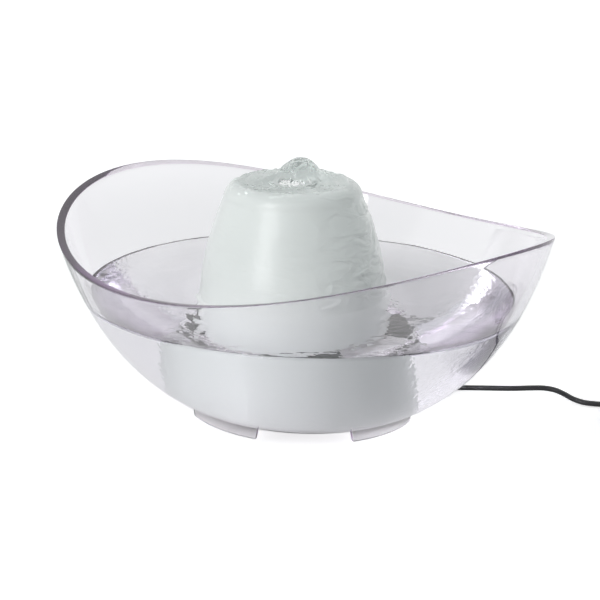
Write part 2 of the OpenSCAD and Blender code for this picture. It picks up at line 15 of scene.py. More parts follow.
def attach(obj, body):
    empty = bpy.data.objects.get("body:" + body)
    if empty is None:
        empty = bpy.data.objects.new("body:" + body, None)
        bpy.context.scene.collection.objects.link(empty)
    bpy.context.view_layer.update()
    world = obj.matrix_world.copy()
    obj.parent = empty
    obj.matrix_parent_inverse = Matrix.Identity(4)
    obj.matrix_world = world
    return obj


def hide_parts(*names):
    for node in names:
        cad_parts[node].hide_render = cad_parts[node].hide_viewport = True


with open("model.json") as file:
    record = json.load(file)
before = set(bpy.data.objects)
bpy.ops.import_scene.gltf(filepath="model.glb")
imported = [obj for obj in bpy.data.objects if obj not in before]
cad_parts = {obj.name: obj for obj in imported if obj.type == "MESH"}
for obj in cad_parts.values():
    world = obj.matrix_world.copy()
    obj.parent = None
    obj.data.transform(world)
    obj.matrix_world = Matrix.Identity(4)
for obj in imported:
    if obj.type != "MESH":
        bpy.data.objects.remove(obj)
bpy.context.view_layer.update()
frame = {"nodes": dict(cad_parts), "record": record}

MM = 0.001
MAIN, CARTRIDGE = "bowl_and_pump", "filter"

# Direction to the right in the main view, along X and Y; the front is a quarter turn from it
RIGHT_X, RIGHT_Y = 0.695, 0.719

# Bowl, in millimetres
BOWL_L, BOWL_W = 406, 365
FORM_H, FORM_DIP, FORM_FULL = 230, 6, 2.7
RIM_HIGH, RIM_LOW = 154.4, 119.6
RIM_ROUND = 0.9
WALL, FLOOR_T = 6, 5.5
FLOOR_CORNER, CORNER_IN, CORNER_STEPS = 12, 9, 6
FOOT_H, FOOT_T, FOOT_DRAFT, FOOT_SPAN = 8.5, 5, 0.8, 45
FLOOR_Z = FOOT_H + FLOOR_T
INNER_START = FOOT_H + (FLOOR_T - WALL) + 4.5
SQUASH = BOWL_W / BOWL_L
# Rounds in which a point on a sloped wall settles at its height
SETTLE = 30

# Dome, in millimetres
DOME_X, DOME_Y, DOME_R, DOME_TOP = 2, -9, 71, 172.7
DOME_TAPER, DOME_CURVE, SHOULDER_R, DISH_DEPTH, DOME_WALL = 25.5, 2.2, 11, 5, 3
DECK_Z, FOOT_BAND, NOZZLE_R = 20, 44, 12
DISH_Z = DOME_TOP - DISH_DEPTH

# Water, in millimetres
WATER_Z = 90.6

# Cord, in millimetres
CORD_D = 4.1
GLAND = (DOME_X, DOME_Y + 36)
GLAND_TURN, RELIEF_END, EXIT_Z, REST_Z = 47, 30.4, 4.2, 2.1
CORD_ROUTE = [(35.1, 62.3, 4.3), (47.7, 75.4, 4.6), (60.5, 88.1, 5.1), (73.9, 99.9, 5.7), (88.4, 110.5, 6.6),
              (102.7, 121.3, 7.3), (109.3, 127.4, 7.6), (115.3, 134.1, 7.7), (121.3, 140.6, 7.5),
              (128.4, 145.2, 6.6), (136.6, 146.1, 5.2), (145.1, 145.6, 3.8), (153.2, 147.5, 2.7),
              (160.1, 152, 2.2), (166.3, 156.9, REST_Z), (171.7, 162.7, REST_Z)]
COIL_AT, COIL_R, LAYER_GAP, TURN_GAP, COIL_TURNS = (202, 165), 22.5, 4.3, 4.25, 3.25
COIL_START, LAYER_SHIFT = 170, 90
COIL_H = COIL_TURNS * TURN_GAP + CORD_D
ADAPTER_AT, ADAPTER_MID, ADAPTER_RELIEF = (245, 142), 12, 18

# Repeated details, in millimetres
EXIT_RIBS_FROM, ADAPTER_RIBS_FROM = 10, 2.5
GRIP_OUT, GRIP_BACK = 15, 16
GRAINS_Z = 103.7


def bowl_half(z):
    """Half length of the bowl's outer form at a height."""
    return BOWL_L / 2 * (1 - (1 - (z + FORM_DIP) / (FORM_H + FORM_DIP)) ** 2) ** (1 / FORM_FULL)


def inner_at(z, wall=WALL):
    """Radius and height of the point one wall in from the outer form at a height."""
    run = bowl_half(z + 0.5) - bowl_half(z - 0.5)
    long = math.hypot(run, 1)
    return bowl_half(z) - wall / long, z + wall * run / long


RIM_CUT_R = (bowl_half(RIM_HIGH) ** 2 + (RIM_HIGH - RIM_LOW) ** 2) / (2 * (RIM_HIGH - RIM_LOW))


def rightwards(x, y):
    """How far a point lies to the right in the main view."""
    return RIGHT_X * x + RIGHT_Y * y


def frontwards(x, y):
    """How far a point lies towards the front in the main view."""
    return RIGHT_Y * x - RIGHT_X * y


# ---------------------------------------------------------------- studio

def make_camera():
    """Looks at the bowl from its front right, a little above the rim."""
    distance, side, height = 1270.3, -0.15, 80.7
    up, around = 16.82, 45.94
    focal, picture, sensor = 1710.9, 600, 36
    e, a = math.radians(up), math.radians(around)
    back = Vector((math.sin(a) * math.cos(e), -math.cos(a) * math.cos(e), math.sin(e)))
    right = Vector((math.cos(a), math.sin(a), 0))
    top = back.cross(right)
    camera = bpy.data.objects.new("camera", bpy.data.cameras.new("camera"))
    bpy.context.scene.collection.objects.link(camera)
    camera.data.lens = focal / picture * sensor
    camera.data.clip_end = 20
    place = (Vector((0, 0, height)) + right * side + back * distance) * MM
    turn = Matrix((right, top, back)).transposed().to_4x4()
    camera.matrix_world = Matrix.Translation(place) @ turn
    bpy.context.scene.camera = camera


def new_material(name):
    """An empty node material with its output."""
    material = bpy.data.materials.new(name)
    material.use_nodes = True
    tree = material.node_tree
    tree.nodes.clear()
    out = tree.nodes.new("ShaderNodeOutputMaterial")
    return material, tree, out


def node(tree, kind, inputs=None, **settings):
    """A node with its settings, and its inputs given as numbers, colours or sockets."""
    made = tree.nodes.new(kind)
    for key, value in settings.items():
        setattr(made, key, value)
    for key, value in (inputs or {}).items():
        if isinstance(value, bpy.types.NodeSocket):
            tree.links.new(value, made.inputs[key])
        else:
            made.inputs[key].default_value = value
    return made


def make_world():
    """White where it is looked at, darker in front and on top in reflections, and a soft grey for diffuse light."""
    world = bpy.data.worlds.new("studio")
    bpy.context.scene.world = world
    world.use_nodes = True
    tree = world.node_tree
    tree.nodes.clear()
    where = node(tree, "ShaderNodeTexCoord")
    turned = node(tree, "ShaderNodeVectorMath", {0: where.outputs["Generated"], 1: (0.62, -0.60, 0.5)},
                  operation="DOT_PRODUCT")
    shade = node(tree, "ShaderNodeMapRange", {0: turned.outputs["Value"], 1: 0.05, 2: 0.8, 3: 1.0, 4: 0.8},
                 interpolation_type="SMOOTHSTEP")
    path = node(tree, "ShaderNodeLightPath")
    seen = node(tree, "ShaderNodeMath", {0: path.outputs["Is Camera Ray"], 1: shade.outputs[0]}, operation="MAXIMUM")
    once = node(tree, "ShaderNodeMath", {0: path.outputs["Diffuse Depth"], 1: 1.0}, operation="MINIMUM")
    tone = node(tree, "ShaderNodeMix", {0: once.outputs[0], 6: (1, 1, 1, 1), 7: (0.28, 0.31, 0.312, 1)},
                data_type="RGBA")
    back = node(tree, "ShaderNodeBackground", {"Color": tone.outputs[2], "Strength": seen.outputs[0]})
    node(tree, "ShaderNodeOutputWorld", {"Surface": back.outputs[0]})


def area_light(name, place, wide, tall, watts, mirrored=True):
    """A soft lamp that faces the middle of the bowl, seen in glossy and clear surfaces or not."""
    lamp = bpy.data.lights.new(name, "AREA")
    lamp.shape, lamp.size, lamp.size_y, lamp.energy = "RECTANGLE", wide, tall, watts
    made = bpy.data.objects.new(name, lamp)
    bpy.context.scene.collection.objects.link(made)
    middle = Vector((0, 0, 0.08))
    aim = middle - Vector(place)
    made.matrix_world = Matrix.Translation(place) @ aim.to_track_quat("-Z", "Y").to_matrix().to_4x4()
    made.visible_glossy = made.visible_transmission = mirrored


def make_floor():
    """A white floor that keeps the soft shadows. Its glow depends on the distance from the middle, and for rays
    through the clear parts it is kept low under the bowl as painted shade.
    """
    mesh = bpy.data.meshes.new("floor")
    half = 4
    mesh.from_pydata([(-half, -half, 0), (half, -half, 0), (half, half, 0), (-half, half, 0)], [], [(0, 1, 2, 3)])
    floor = bpy.data.objects.new("floor", mesh)
    bpy.context.scene.collection.objects.link(floor)
    material, tree, out = new_material("white_floor")
    path = node(tree, "ShaderNodeLightPath")
    inside = node(tree, "ShaderNodeMath", {0: path.outputs["Is Glossy Ray"], 1: path.outputs["Is Transmission Ray"]},
                  operation="MAXIMUM")
    inside = node(tree, "ShaderNodeMath", {0: inside.outputs[0], 1: path.outputs["Diffuse Depth"]},
                  operation="SUBTRACT", use_clamp=True)
    where = node(tree, "ShaderNodeTexCoord")
    away = node(tree, "ShaderNodeVectorMath", {0: where.outputs["Object"]}, operation="LENGTH")
    glow = None
    # distances at which the glow starts and ends to change, its level at both, and the rays that see it; the low near
    # levels for rays through the clear parts are painted shade under the bowl
    for start, end, near, far, rays in ((0.35, 1.5, 0.57, 0.98, path.outputs["Is Camera Ray"]),
                                        (0.08, 0.45, 0.15, 0.37, inside.outputs[0]),
                                        (0.45, 1.5, 0.0, 0.48, inside.outputs[0])):
        level = node(tree, "ShaderNodeMapRange", {0: away.outputs["Value"], 1: start, 2: end, 3: near, 4: far},
                     interpolation_type="SMOOTHSTEP")
        glow = node(tree, "ShaderNodeMath", {0: rays, 1: level.outputs[0], 2: glow.outputs[0] if glow else 0.0},
                    operation="MULTIPLY_ADD")
    pale = node(tree, "ShaderNodeMapRange", {0: path.outputs["Diffuse Depth"], 3: 0.85, 4: 0.42})
    paint = node(tree, "ShaderNodeBsdfDiffuse", {"Color": pale.outputs[0]})
    light = node(tree, "ShaderNodeEmission", {"Color": (1, 1, 1, 1), "Strength": glow.outputs[0]})
    both = node(tree, "ShaderNodeAddShader", {0: paint.outputs[0], 1: light.outputs[0]})
    tree.links.new(both.outputs[0], out.inputs["Surface"])
    mesh.materials.append(material)


def make_studio():
    """Camera, world, floor and lamps."""
    scene = bpy.context.scene
    scene.view_settings.view_transform = "Standard"
    # light caught in the bowl's wall comes out black with fewer bounces
    bounces, clear_layers = 28, 24
    scene.cycles.max_bounces = scene.cycles.glossy_bounces = scene.cycles.transmission_bounces = bounces
    scene.cycles.transparent_max_bounces = clear_layers
    make_camera()
    make_world()
    make_floor()
    area_light("key_left", (0.2, -1.45, 0.72), 0.6, 1.3, 14.5)
    area_light("fill_left", (-1.2, -0.7, 0.7), 1.5, 1.5, 3)
    area_light("edge_right", (0.49, 1.42, 0.35), 0.7, 0.5, 6, mirrored=False)
    area_light("low_right", (1.55, -0.35, 0.08), 0.9, 0.12, 1.8, mirrored=False)
    area_light("top_back", (-0.35, 0.75, 1.5), 0.7, 0.7, 1.5)


# ---------------------------------------------------------------- materials

def principled(name, **values):
    """A material with one main shader, its values given by input name."""
    material, tree, out = new_material(name)
    shader = node(tree, "ShaderNodeBsdfPrincipled", values)
    tree.links.new(shader.outputs[0], out.inputs["Surface"])
    return material, tree, out, shader


def new_group(name, inputs, outputs):
    """A shader node group with named inputs, with their defaults, and outputs."""
    group = bpy.data.node_groups.new(name, "ShaderNodeTree")
    for label, kind, value in inputs:
        socket = group.interface.new_socket(label, in_out="INPUT", socket_type=kind)
        socket.default_value = value
    for label, kind in outputs:
        group.interface.new_socket(label, in_out="OUTPUT", socket_type=kind)
    return group, group.nodes.new("NodeGroupInput"), group.nodes.new("NodeGroupOutput")


def grain_group():
    """Fine surface grain: uneven colour, roughness and height at one size."""
    colour, number, vector = "NodeSocketColor", "NodeSocketFloat", "NodeSocketVector"
    group, given, out = new_group("moulded_grain", [
        ("Colour", colour, (0.8, 0.8, 0.8, 1)), ("Tone", number, 0.08), ("Size", number, 0.002),
        ("Depth", number, 0.1), ("Roughness", number, 0.4), ("Spread", number, 0.1)],
        [("Colour", colour), ("Roughness", number), ("Normal", vector)])
    place = node(group, "ShaderNodeTexCoord")
    rate = node(group, "ShaderNodeMath", {0: 1.0, 1: given.outputs["Size"]}, operation="DIVIDE")
    fine = node(group, "ShaderNodeTexNoise", {"Vector": place.outputs["Object"], "Scale": rate.outputs[0],
                                              "Detail": 3.0})
    slow = node(group, "ShaderNodeMath", {0: rate.outputs[0], 1: 0.06}, operation="MULTIPLY")
    broad = node(group, "ShaderNodeTexNoise", {"Vector": place.outputs["Object"], "Scale": slow.outputs[0]})
    shift = node(group, "ShaderNodeMath", {0: broad.outputs["Fac"], 1: 0.5}, operation="SUBTRACT")
    tone = node(group, "ShaderNodeMath", {0: shift.outputs[0], 1: given.outputs["Tone"], 2: 1.0},
                operation="MULTIPLY_ADD")
    paint = node(group, "ShaderNodeVectorMath", {0: given.outputs["Colour"], "Scale": tone.outputs[0]},
                 operation="SCALE")
    rough = node(group, "ShaderNodeMath", {0: shift.outputs[0], 1: given.outputs["Spread"],
                                           2: given.outputs["Roughness"]}, operation="MULTIPLY_ADD")
    bump = node(group, "ShaderNodeBump", {"Strength": given.outputs["Depth"], "Distance": 0.0004,
                                          "Height": fine.outputs["Fac"]})
    group.links.new(paint.outputs["Vector"], out.inputs["Colour"])
    group.links.new(rough.outputs[0], out.inputs["Roughness"])
    group.links.new(bump.outputs["Normal"], out.inputs["Normal"])


def add_grain(tree, shader, colour, rough, size, depth, tone, spread):
    """The grain group with this finish's values, feeding the shader."""
    grain = node(tree, "ShaderNodeGroup", node_tree=bpy.data.node_groups["moulded_grain"])
    for key, value in (("Colour", (*colour, 1)), ("Tone", tone), ("Size", size), ("Depth", depth),
                       ("Roughness", rough), ("Spread", spread)):
        grain.inputs[key].default_value = value
    for output, given in (("Colour", "Base Color"), ("Roughness", "Roughness"), ("Normal", "Normal")):
        tree.links.new(grain.outputs[output], shader.inputs[given])
    return grain


def moulded(name, colour, rough, size=0.0015, depth=0.12, tone=0.1, spread=0.15, **values):
    """A moulded or cast finish with fine grain."""
    material, tree, out, shader = principled(name, **values)
    add_grain(tree, shader, colour, rough, size, depth, tone, spread)
    return material


def clear_material(name, tint, ior, absorb, density, wave=0.0, size=0.02, shade=0.94):
    """A clear body with a tint that deepens along the path of the light.

    Its surface can have fine waves of a height and size. The lamps shine through it at the strength in shade.
    """
    material, tree, out, shader = principled(name, **{
        "Base Color": (*tint, 1), "Roughness": 0.0, "IOR": ior, "Transmission Weight": 1.0})
    path = node(tree, "ShaderNodeLightPath")
    through = node(tree, "ShaderNodeBsdfTransparent", {"Color": (shade, shade, shade, 1)})
    both = node(tree, "ShaderNodeMixShader", {0: path.outputs["Is Shadow Ray"], 1: shader.outputs[0],
                                              2: through.outputs[0]})
    tree.links.new(both.outputs[0], out.inputs["Surface"])
    if wave:
        place = node(tree, "ShaderNodeTexCoord")
        swell = node(tree, "ShaderNodeTexNoise", {"Vector": place.outputs["Object"], "Scale": 1 / size,
                                                  "Detail": 1.0})
        bump = node(tree, "ShaderNodeBump", {"Strength": 1.0, "Distance": wave, "Height": swell.outputs["Fac"]})
        tree.links.new(bump.outputs["Normal"], shader.inputs["Normal"])
    inside = node(tree, "ShaderNodeVolumeAbsorption", {"Color": (*absorb, 1), "Density": density})
    tree.links.new(inside.outputs[0], out.inputs["Volume"])
    return material


def bowl_material(*values, **settings):
    """Clear plastic with painted shade along the rim's cut: a darker tint there, and a faint purple glow painted on
    as the light that runs along the wall.
    """
    band_low, band_top = 1.1 * MM, 0.3 * MM
    material = clear_material(*values, **settings)
    tree = material.node_tree
    shader = next(n for n in tree.nodes if n.type == "BSDF_PRINCIPLED")
    place = node(tree, "ShaderNodeTexCoord")
    split = node(tree, "ShaderNodeSeparateXYZ", {0: place.outputs["Object"]})
    cut_r = RIM_CUT_R * MM
    square = node(tree, "ShaderNodeMath", {0: split.outputs["X"], 1: split.outputs["X"]}, operation="MULTIPLY")
    left = node(tree, "ShaderNodeMath", {0: cut_r ** 2, 1: square.outputs[0]}, operation="SUBTRACT")
    drop = node(tree, "ShaderNodeMath", {0: left.outputs[0]}, operation="SQRT")
    above = node(tree, "ShaderNodeMath", {0: split.outputs["Z"], 1: drop.outputs[0]}, operation="ADD")
    # the band just below the rim's cut, where painted shade and a painted glow go
    edge = node(tree, "ShaderNodeMapRange", {0: above.outputs[0], 1: RIM_LOW * MM + cut_r - band_low,
                                             2: RIM_LOW * MM + cut_r - band_top})
    # painted glow: a faint purple light on the rim band, though the plastic is no lamp
    glow = node(tree, "ShaderNodeMix", {0: edge.outputs[0], 6: (0, 0, 0, 1), 7: (0.045, 0.034, 0.05, 1)},
                data_type="RGBA")
    tree.links.new(glow.outputs[2], shader.inputs["Emission Color"])
    tint = shader.inputs["Base Color"].default_value[:]
    # painted shade: the rim band's tint made darker, standing in for the dark edge that the wall's optics give
    painted_rim_shade = node(tree, "ShaderNodeMix", {0: edge.outputs[0], 6: tint, 7: (0.62, 0.56, 0.61, 1)},
                  data_type="RGBA")
    tree.links.new(painted_rim_shade.outputs[2], shader.inputs["Base Color"])
    shader.inputs["Emission Strength"].default_value = 1.0
    return material


def dome_material():
    """Smooth white plastic under a thin film of water, which ripples on its right flank above the pool."""
    material, tree, out, shader = principled("wet_white_dome", **{
        "Coat Weight": 0.9, "Coat Roughness": 0.24, "Coat IOR": 1.33})
    grain = add_grain(tree, shader, (0.78, 0.815, 0.80), 0.5, size=0.003, depth=0.03, tone=0.04, spread=0.1)
    place = node(tree, "ShaderNodeTexCoord")
    long = node(tree, "ShaderNodeMapping", {"Vector": place.outputs["Object"], "Scale": (1, 1, 2.4)})
    film = node(tree, "ShaderNodeTexNoise", {"Vector": long.outputs[0], "Scale": 44.0, "Detail": 2.0,
                                             "Roughness": 0.4, "Distortion": 1.2})
    side = node(tree, "ShaderNodeVectorMath", {0: place.outputs["Object"], 1: (RIGHT_X, RIGHT_Y, 0)},
                operation="DOT_PRODUCT")
    side = node(tree, "ShaderNodeMapRange", {0: side.outputs["Value"], 1: 0.0, 2: 0.05, 3: 0.15, 4: 1.0})
    split = node(tree, "ShaderNodeSeparateXYZ", {0: place.outputs["Object"]})
    dry = node(tree, "ShaderNodeMapRange", {0: split.outputs["Z"], 1: WATER_Z * MM, 2: (WATER_Z + 12) * MM})
    wet = node(tree, "ShaderNodeMath", {0: dry.outputs[0], 1: side.outputs[0]}, operation="MULTIPLY")
    height = node(tree, "ShaderNodeMath", {0: film.outputs["Fac"], 1: wet.outputs[0]}, operation="MULTIPLY")
    bump = node(tree, "ShaderNodeBump", {"Strength": 0.7, "Distance": 0.0038, "Height": height.outputs[0],
                                         "Normal": grain.outputs["Normal"]})
    tree.links.new(bump.outputs["Normal"], shader.inputs["Normal"])
    tree.links.new(bump.outputs["Normal"], shader.inputs["Coat Normal"])
    return material


def make_materials():
    """One finish for each material slot of the record."""
    grain_group()
    return {
        "clear_bowl": bowl_material("clear_bowl_plastic", (0.975, 0.968, 0.978), ior=1.47, absorb=(0.60, 0.45, 0.66),
                                    density=10.0, shade=1.04),
        "water": clear_material("welling_water", (0.95, 0.96, 0.96), ior=1.33, absorb=(0.46, 0.54, 0.52),
                                density=5.0, wave=0.00025, size=0.008, shade=0.97),
        "pool": clear_material("pool_water", (0.992, 0.992, 0.995), ior=1.33, absorb=(0.55, 0.62, 0.64),
                               density=1.6, wave=0.0003, size=0.006, shade=1.12),
        "dome_white": dome_material(),
        "white_plastic": moulded("white_moulded_plastic", (0.82, 0.84, 0.83), 0.38),
        "clear_tube": moulded("milky_tube", (0.78, 0.82, 0.84), 0.2, depth=0.03),
        "carbon": moulded("carbon_granules", (0.03, 0.03, 0.032), 0.75, size=0.0012, depth=1.0),
        "foam": moulded("open_sponge", (0.15, 0.16, 0.175), 0.95, size=0.0009, depth=1.0, tone=0.5),
        "pump_plastic": moulded("black_pump_plastic", (0.018, 0.018, 0.02), 0.42),
        "steel_laminations": moulded("core_steel", (0.42, 0.42, 0.44), 0.35, size=0.0006, depth=0.3, Metallic=1.0),
        "copper_winding": moulded("wound_copper", (0.62, 0.24, 0.1), 0.32, size=0.0007, depth=0.6, Metallic=1.0),
        "potting_resin": moulded("potting_resin", (0.02, 0.02, 0.02), 0.3, size=0.004, depth=0.1),
        "magnet": moulded("sintered_magnet", (0.05, 0.05, 0.055), 0.45, Metallic=0.6),
        "impeller_plastic": moulded("impeller_plastic", (0.72, 0.72, 0.68), 0.4),
        "steel_shaft": moulded("polished_shaft", (0.6, 0.6, 0.61), 0.18, size=0.0005, depth=0.05, Metallic=1.0),
        "black_rubber": moulded("black_rubber", (0.012, 0.012, 0.012), 0.6, size=0.0012, depth=0.2),
        "dial_plastic": moulded("grey_dial_plastic", (0.45, 0.46, 0.48), 0.4),
        "cord_jacket": moulded("cord_jacket", (0.012, 0.012, 0.014), 0.36, size=0.0008, depth=0.1),
        "adapter_plastic": moulded("adapter_plastic", (0.014, 0.014, 0.015), 0.5, size=0.0006, depth=0.35),
        "prong_brass": moulded("plated_prongs", (0.66, 0.62, 0.5), 0.25, size=0.0005, depth=0.08, Metallic=1.0),
    }


# ---------------------------------------------------------------- mesh helpers

def new_object(name, points, faces, material):
    """A smooth mesh from points in millimetres and faces."""
    mesh = bpy.data.meshes.new(name)
    mesh.from_pydata((np.asarray(points, float) * MM).tolist(), [], faces)
    mesh.validate()
    mesh.shade_smooth()
    mesh.materials.append(material)
    made = bpy.data.objects.new(name, mesh)
    bpy.context.scene.collection.objects.link(made)
    return made


def ring_mesh(columns):
    """Points and faces of a closed body swept round Z: one column of points for each angle.

    The first and last point of every column lie on the axis and become one pole each.
    """
    columns = np.asarray(columns, float)
    turns, rows = columns.shape[:2]
    middle = columns[:, 1:-1].reshape(-1, 3)
    points = np.vstack([middle, columns[:, 0].mean(0), columns[:, -1].mean(0)])
    inner = rows - 2
    low, high = len(points) - 2, len(points) - 1
    faces = []
    for i in range(turns):
        a, b = i * inner, (i + 1) % turns * inner
        faces.append((low, b, a))
        faces += [(a + k, b + k, b + k + 1, a + k + 1) for k in range(inner - 1)]
        faces.append((high, a + inner - 1, b + inner - 1))
    return points, faces


def rounded(points, radii, steps=4):
    """The points of a flat outline with arcs at its inner corners, one radius for each."""
    points = [np.array(p, float) for p in points]
    made = [points[0]]
    for before, here, after, radius in zip(points, points[1:], points[2:], radii):
        if not radius:
            made.append(here)
            continue
        a, b = before - here, after - here
        la, lb = np.linalg.norm(a), np.linalg.norm(b)
        a, b = a / la, b / lb
        half = math.acos(max(-1, min(1, float(a @ b)))) / 2
        reach = min(radius / math.tan(half), 0.45 * la, 0.45 * lb)
        p, q = here + a * reach, here + b * reach
        for i in range(steps + 1):
            t = i / steps
            made.append((1 - t) ** 2 * p + 2 * t * (1 - t) * here + t * t * q)
    made.append(points[-1])
    return made


def eased(t):
    """Smooth step from 0 to 1."""
    t = min(1, max(0, t))
    return t * t * (3 - 2 * t)


# ---------------------------------------------------------------- bowl

def rim_at(x):
    """Height of the rim's cut at a distance along the bowl."""
    return RIM_LOW + RIM_CUT_R - math.sqrt(RIM_CUT_R ** 2 - x * x)


def meets_rim(curve, along):
    """Height parameter at which a wall curve reaches the rim's cut, at one angle."""
    z = RIM_LOW
    for _ in range(SETTLE):
        radius, height = curve(z)
        z += rim_at(radius * along) - height
    return z


def foot_lift(angle):
    """How far the bottom is let down into a foot at an angle: 0 between the feet, 1 on them."""
    off = abs((angle + 45) % 90 - 45)
    return eased((FOOT_SPAN / 2 - off) / 1.4)


def bowl_column(angle):
    """Outline of the bowl at one angle, from the axis below to the axis above."""
    along, across = math.cos(math.radians(angle)), math.sin(math.radians(angle))
    blend = 3
    outer = lambda z: (bowl_half(z), z)
    top_out, top_in = meets_rim(outer, along), meets_rim(inner_at, along)
    out_r, base = bowl_half(FOOT_H), FOOT_H * (1 - foot_lift(angle))
    in_r = out_r - FOOT_T
    lower = rounded([(0, FOOT_H), (in_r, FOOT_H), (in_r + FOOT_DRAFT, base), (out_r - FOOT_DRAFT, base),
                     (out_r, FOOT_H + 0.01), outer(FOOT_H + blend)], [0.6, 1.0, 1.0, 0.3])
    walls = 44
    # the heights lie closer together near the bottom, where the wall bends most
    wall = [outer(FOOT_H + blend + (top_out - FOOT_H - blend) * (i / walls) ** 1.25) for i in range(1, walls + 1)]
    back = [inner_at(INNER_START + (top_in - INNER_START) * (i / walls) ** 1.35) for i in range(walls, -1, -1)]
    rim = rounded([wall[-2], wall[-1], back[0], back[1]], [RIM_ROUND, RIM_ROUND])[1:-1]
    corner = rounded([back[-1], (back[-1][0] - CORNER_IN, FLOOR_Z), (0, FLOOR_Z)], [FLOOR_CORNER], CORNER_STEPS)
    flat = [np.array(p) for p in (*lower[:-1], *wall[:-1], *rim, *back[1:-1], *corner)]
    return [(p[0] * along, p[0] * across * SQUASH, p[1]) for p in flat]


def bowl_angles():
    """Angles round the bowl, closer together at the ends of the feet."""
    wide_step, close_step, close_ones = 1.25, 0.2, 8
    angles = set(np.arange(0, 360, wide_step).tolist())
    for middle in range(0, 360, 90):
        for side in (-1, 1):
            edge = middle + side * FOOT_SPAN / 2
            angles |= {round((edge - side * k * close_step) % 360, 3) for k in range(close_ones)}
    return sorted(angles)


def make_bowl(material):
    """The clear bowl with its feet, one closed body."""
    bowl = new_object("bowl_shell", *ring_mesh([bowl_column(a) for a in bowl_angles()]), material)
    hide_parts("bowl")
    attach(bowl, MAIN)


# ---------------------------------------------------------------- water

# Places where the surface is livelier: x, y, how far it reaches and how high, in millimetres
LIVELY = [(-124, -86, 16, 1.0), (-60, -120, 20, 0.25), (30, -122, 26, 0.3), (118, -68, 18, 0.6),
          (110, 60, 30, 0.3)]


def patches(size, layer, x, y):
    """Smooth uneven value above and below 0, in patches of a size in millimetres."""
    return noise.noise(Vector((x / size, y / size, layer)))


def ripple(x, y):
    """Height of the pool's surface above its level, from rings round the dome, a slow swell and lively places."""
    away = max(math.hypot(x - DOME_X, y - DOME_Y) - DOME_R, -4)
    bent = patches(26, 8.3, x, y)
    rings = 0.16 * math.sin(away / 2.5 + 5 * bent) * math.exp(-away / 70)
    swell = 0.8 * patches(36, 1.7, x, y) + 0.22 * patches(13, 4.2, x, y)
    fine = patches(4.2, 6.1, x, y)
    height = rings + swell + 0.9 * math.exp(-max(away, 0) / 1.5)
    for at_x, at_y, reach, high in LIVELY:
        near = math.exp(-((x - at_x) ** 2 + (y - at_y) ** 2) / reach ** 2)
        height += near * high * (fine + 0.5 * math.sin((x + 0.6 * y) / 2.4 + 6 * bent))
    # streaks that lie across the view from the front
    front = frontwards(x, y)
    streak = noise.noise(Vector((front / 2.6, rightwards(x, y) / 16, 3.3)))
    return height + 0.13 * streak * eased((front - 60) / 40)


def make_pool(material):
    """The water in the bowl: a closed body that reaches a little into the wall, so no air lies between."""
    reach, turns, rings, walls = 0.25, 360, 150, 26
    wall = lambda z: inner_at(z, WALL - reach)
    z = WATER_Z
    for _ in range(SETTLE):
        z += WATER_Z - wall(z)[1]
    edge = wall(z)[0]
    side = [wall(INNER_START + (z - INNER_START) * (i / walls) ** 1.3) for i in range(walls + 1)]
    below = rounded([(0, FLOOR_Z - reach), (side[0][0] - CORNER_IN, FLOOR_Z - reach), side[0]], [FLOOR_CORNER],
                    CORNER_STEPS)
    columns = []
    for i in range(turns):
        a = 2 * math.pi * i / turns
        c, s = math.cos(a), math.sin(a) * SQUASH
        column = [(p[0] * c, p[0] * s, p[1]) for p in (*below[:-1], *side[:-1])]
        for k in range(rings, -1, -1):
            share = k / rings
            r = edge * (1 - (1 - share) ** 1.25)
            x, y = r * c, r * s
            column.append((x, y, WATER_Z + ripple(x, y)))
        columns.append(column)
    pool = new_object("pool_water", *ring_mesh(columns), material)
    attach(pool, MAIN)


# ---------------------------------------------------------------- dome

def dome_out(z):
    """Outer radius of the dome at a height."""
    taper_z = DECK_Z + FOOT_BAND
    if z < taper_z:
        return DOME_R - (z - DECK_Z) / FOOT_BAND
    return DOME_R - 1 - (DOME_TAPER - 1) * ((z - taper_z) / (DOME_TOP - taper_z)) ** DOME_CURVE


def film(x, y, z):
    """Thickness of the water that runs down the dome's right flank, in curved ripples."""
    right = rightwards(x, y) / DOME_R
    bent = noise.noise(Vector((x / 20, y / 20, z / 20 + 4.4)))
    wave = 1 - 2 * abs(math.sin(z / 5.2 + 4.5 * bent + 1.6 * right)) ** 0.6
    patch = max(0, noise.noise(Vector((x / 22, y / 22, z / 30 + 9.2))) + 0.4)
    fade = 8
    return (0.8 * wave * patch * eased((right + 0.1) / 0.5) * eased((z - WATER_Z) / fade)
            * eased((DOME_TOP - fade - z) / fade))


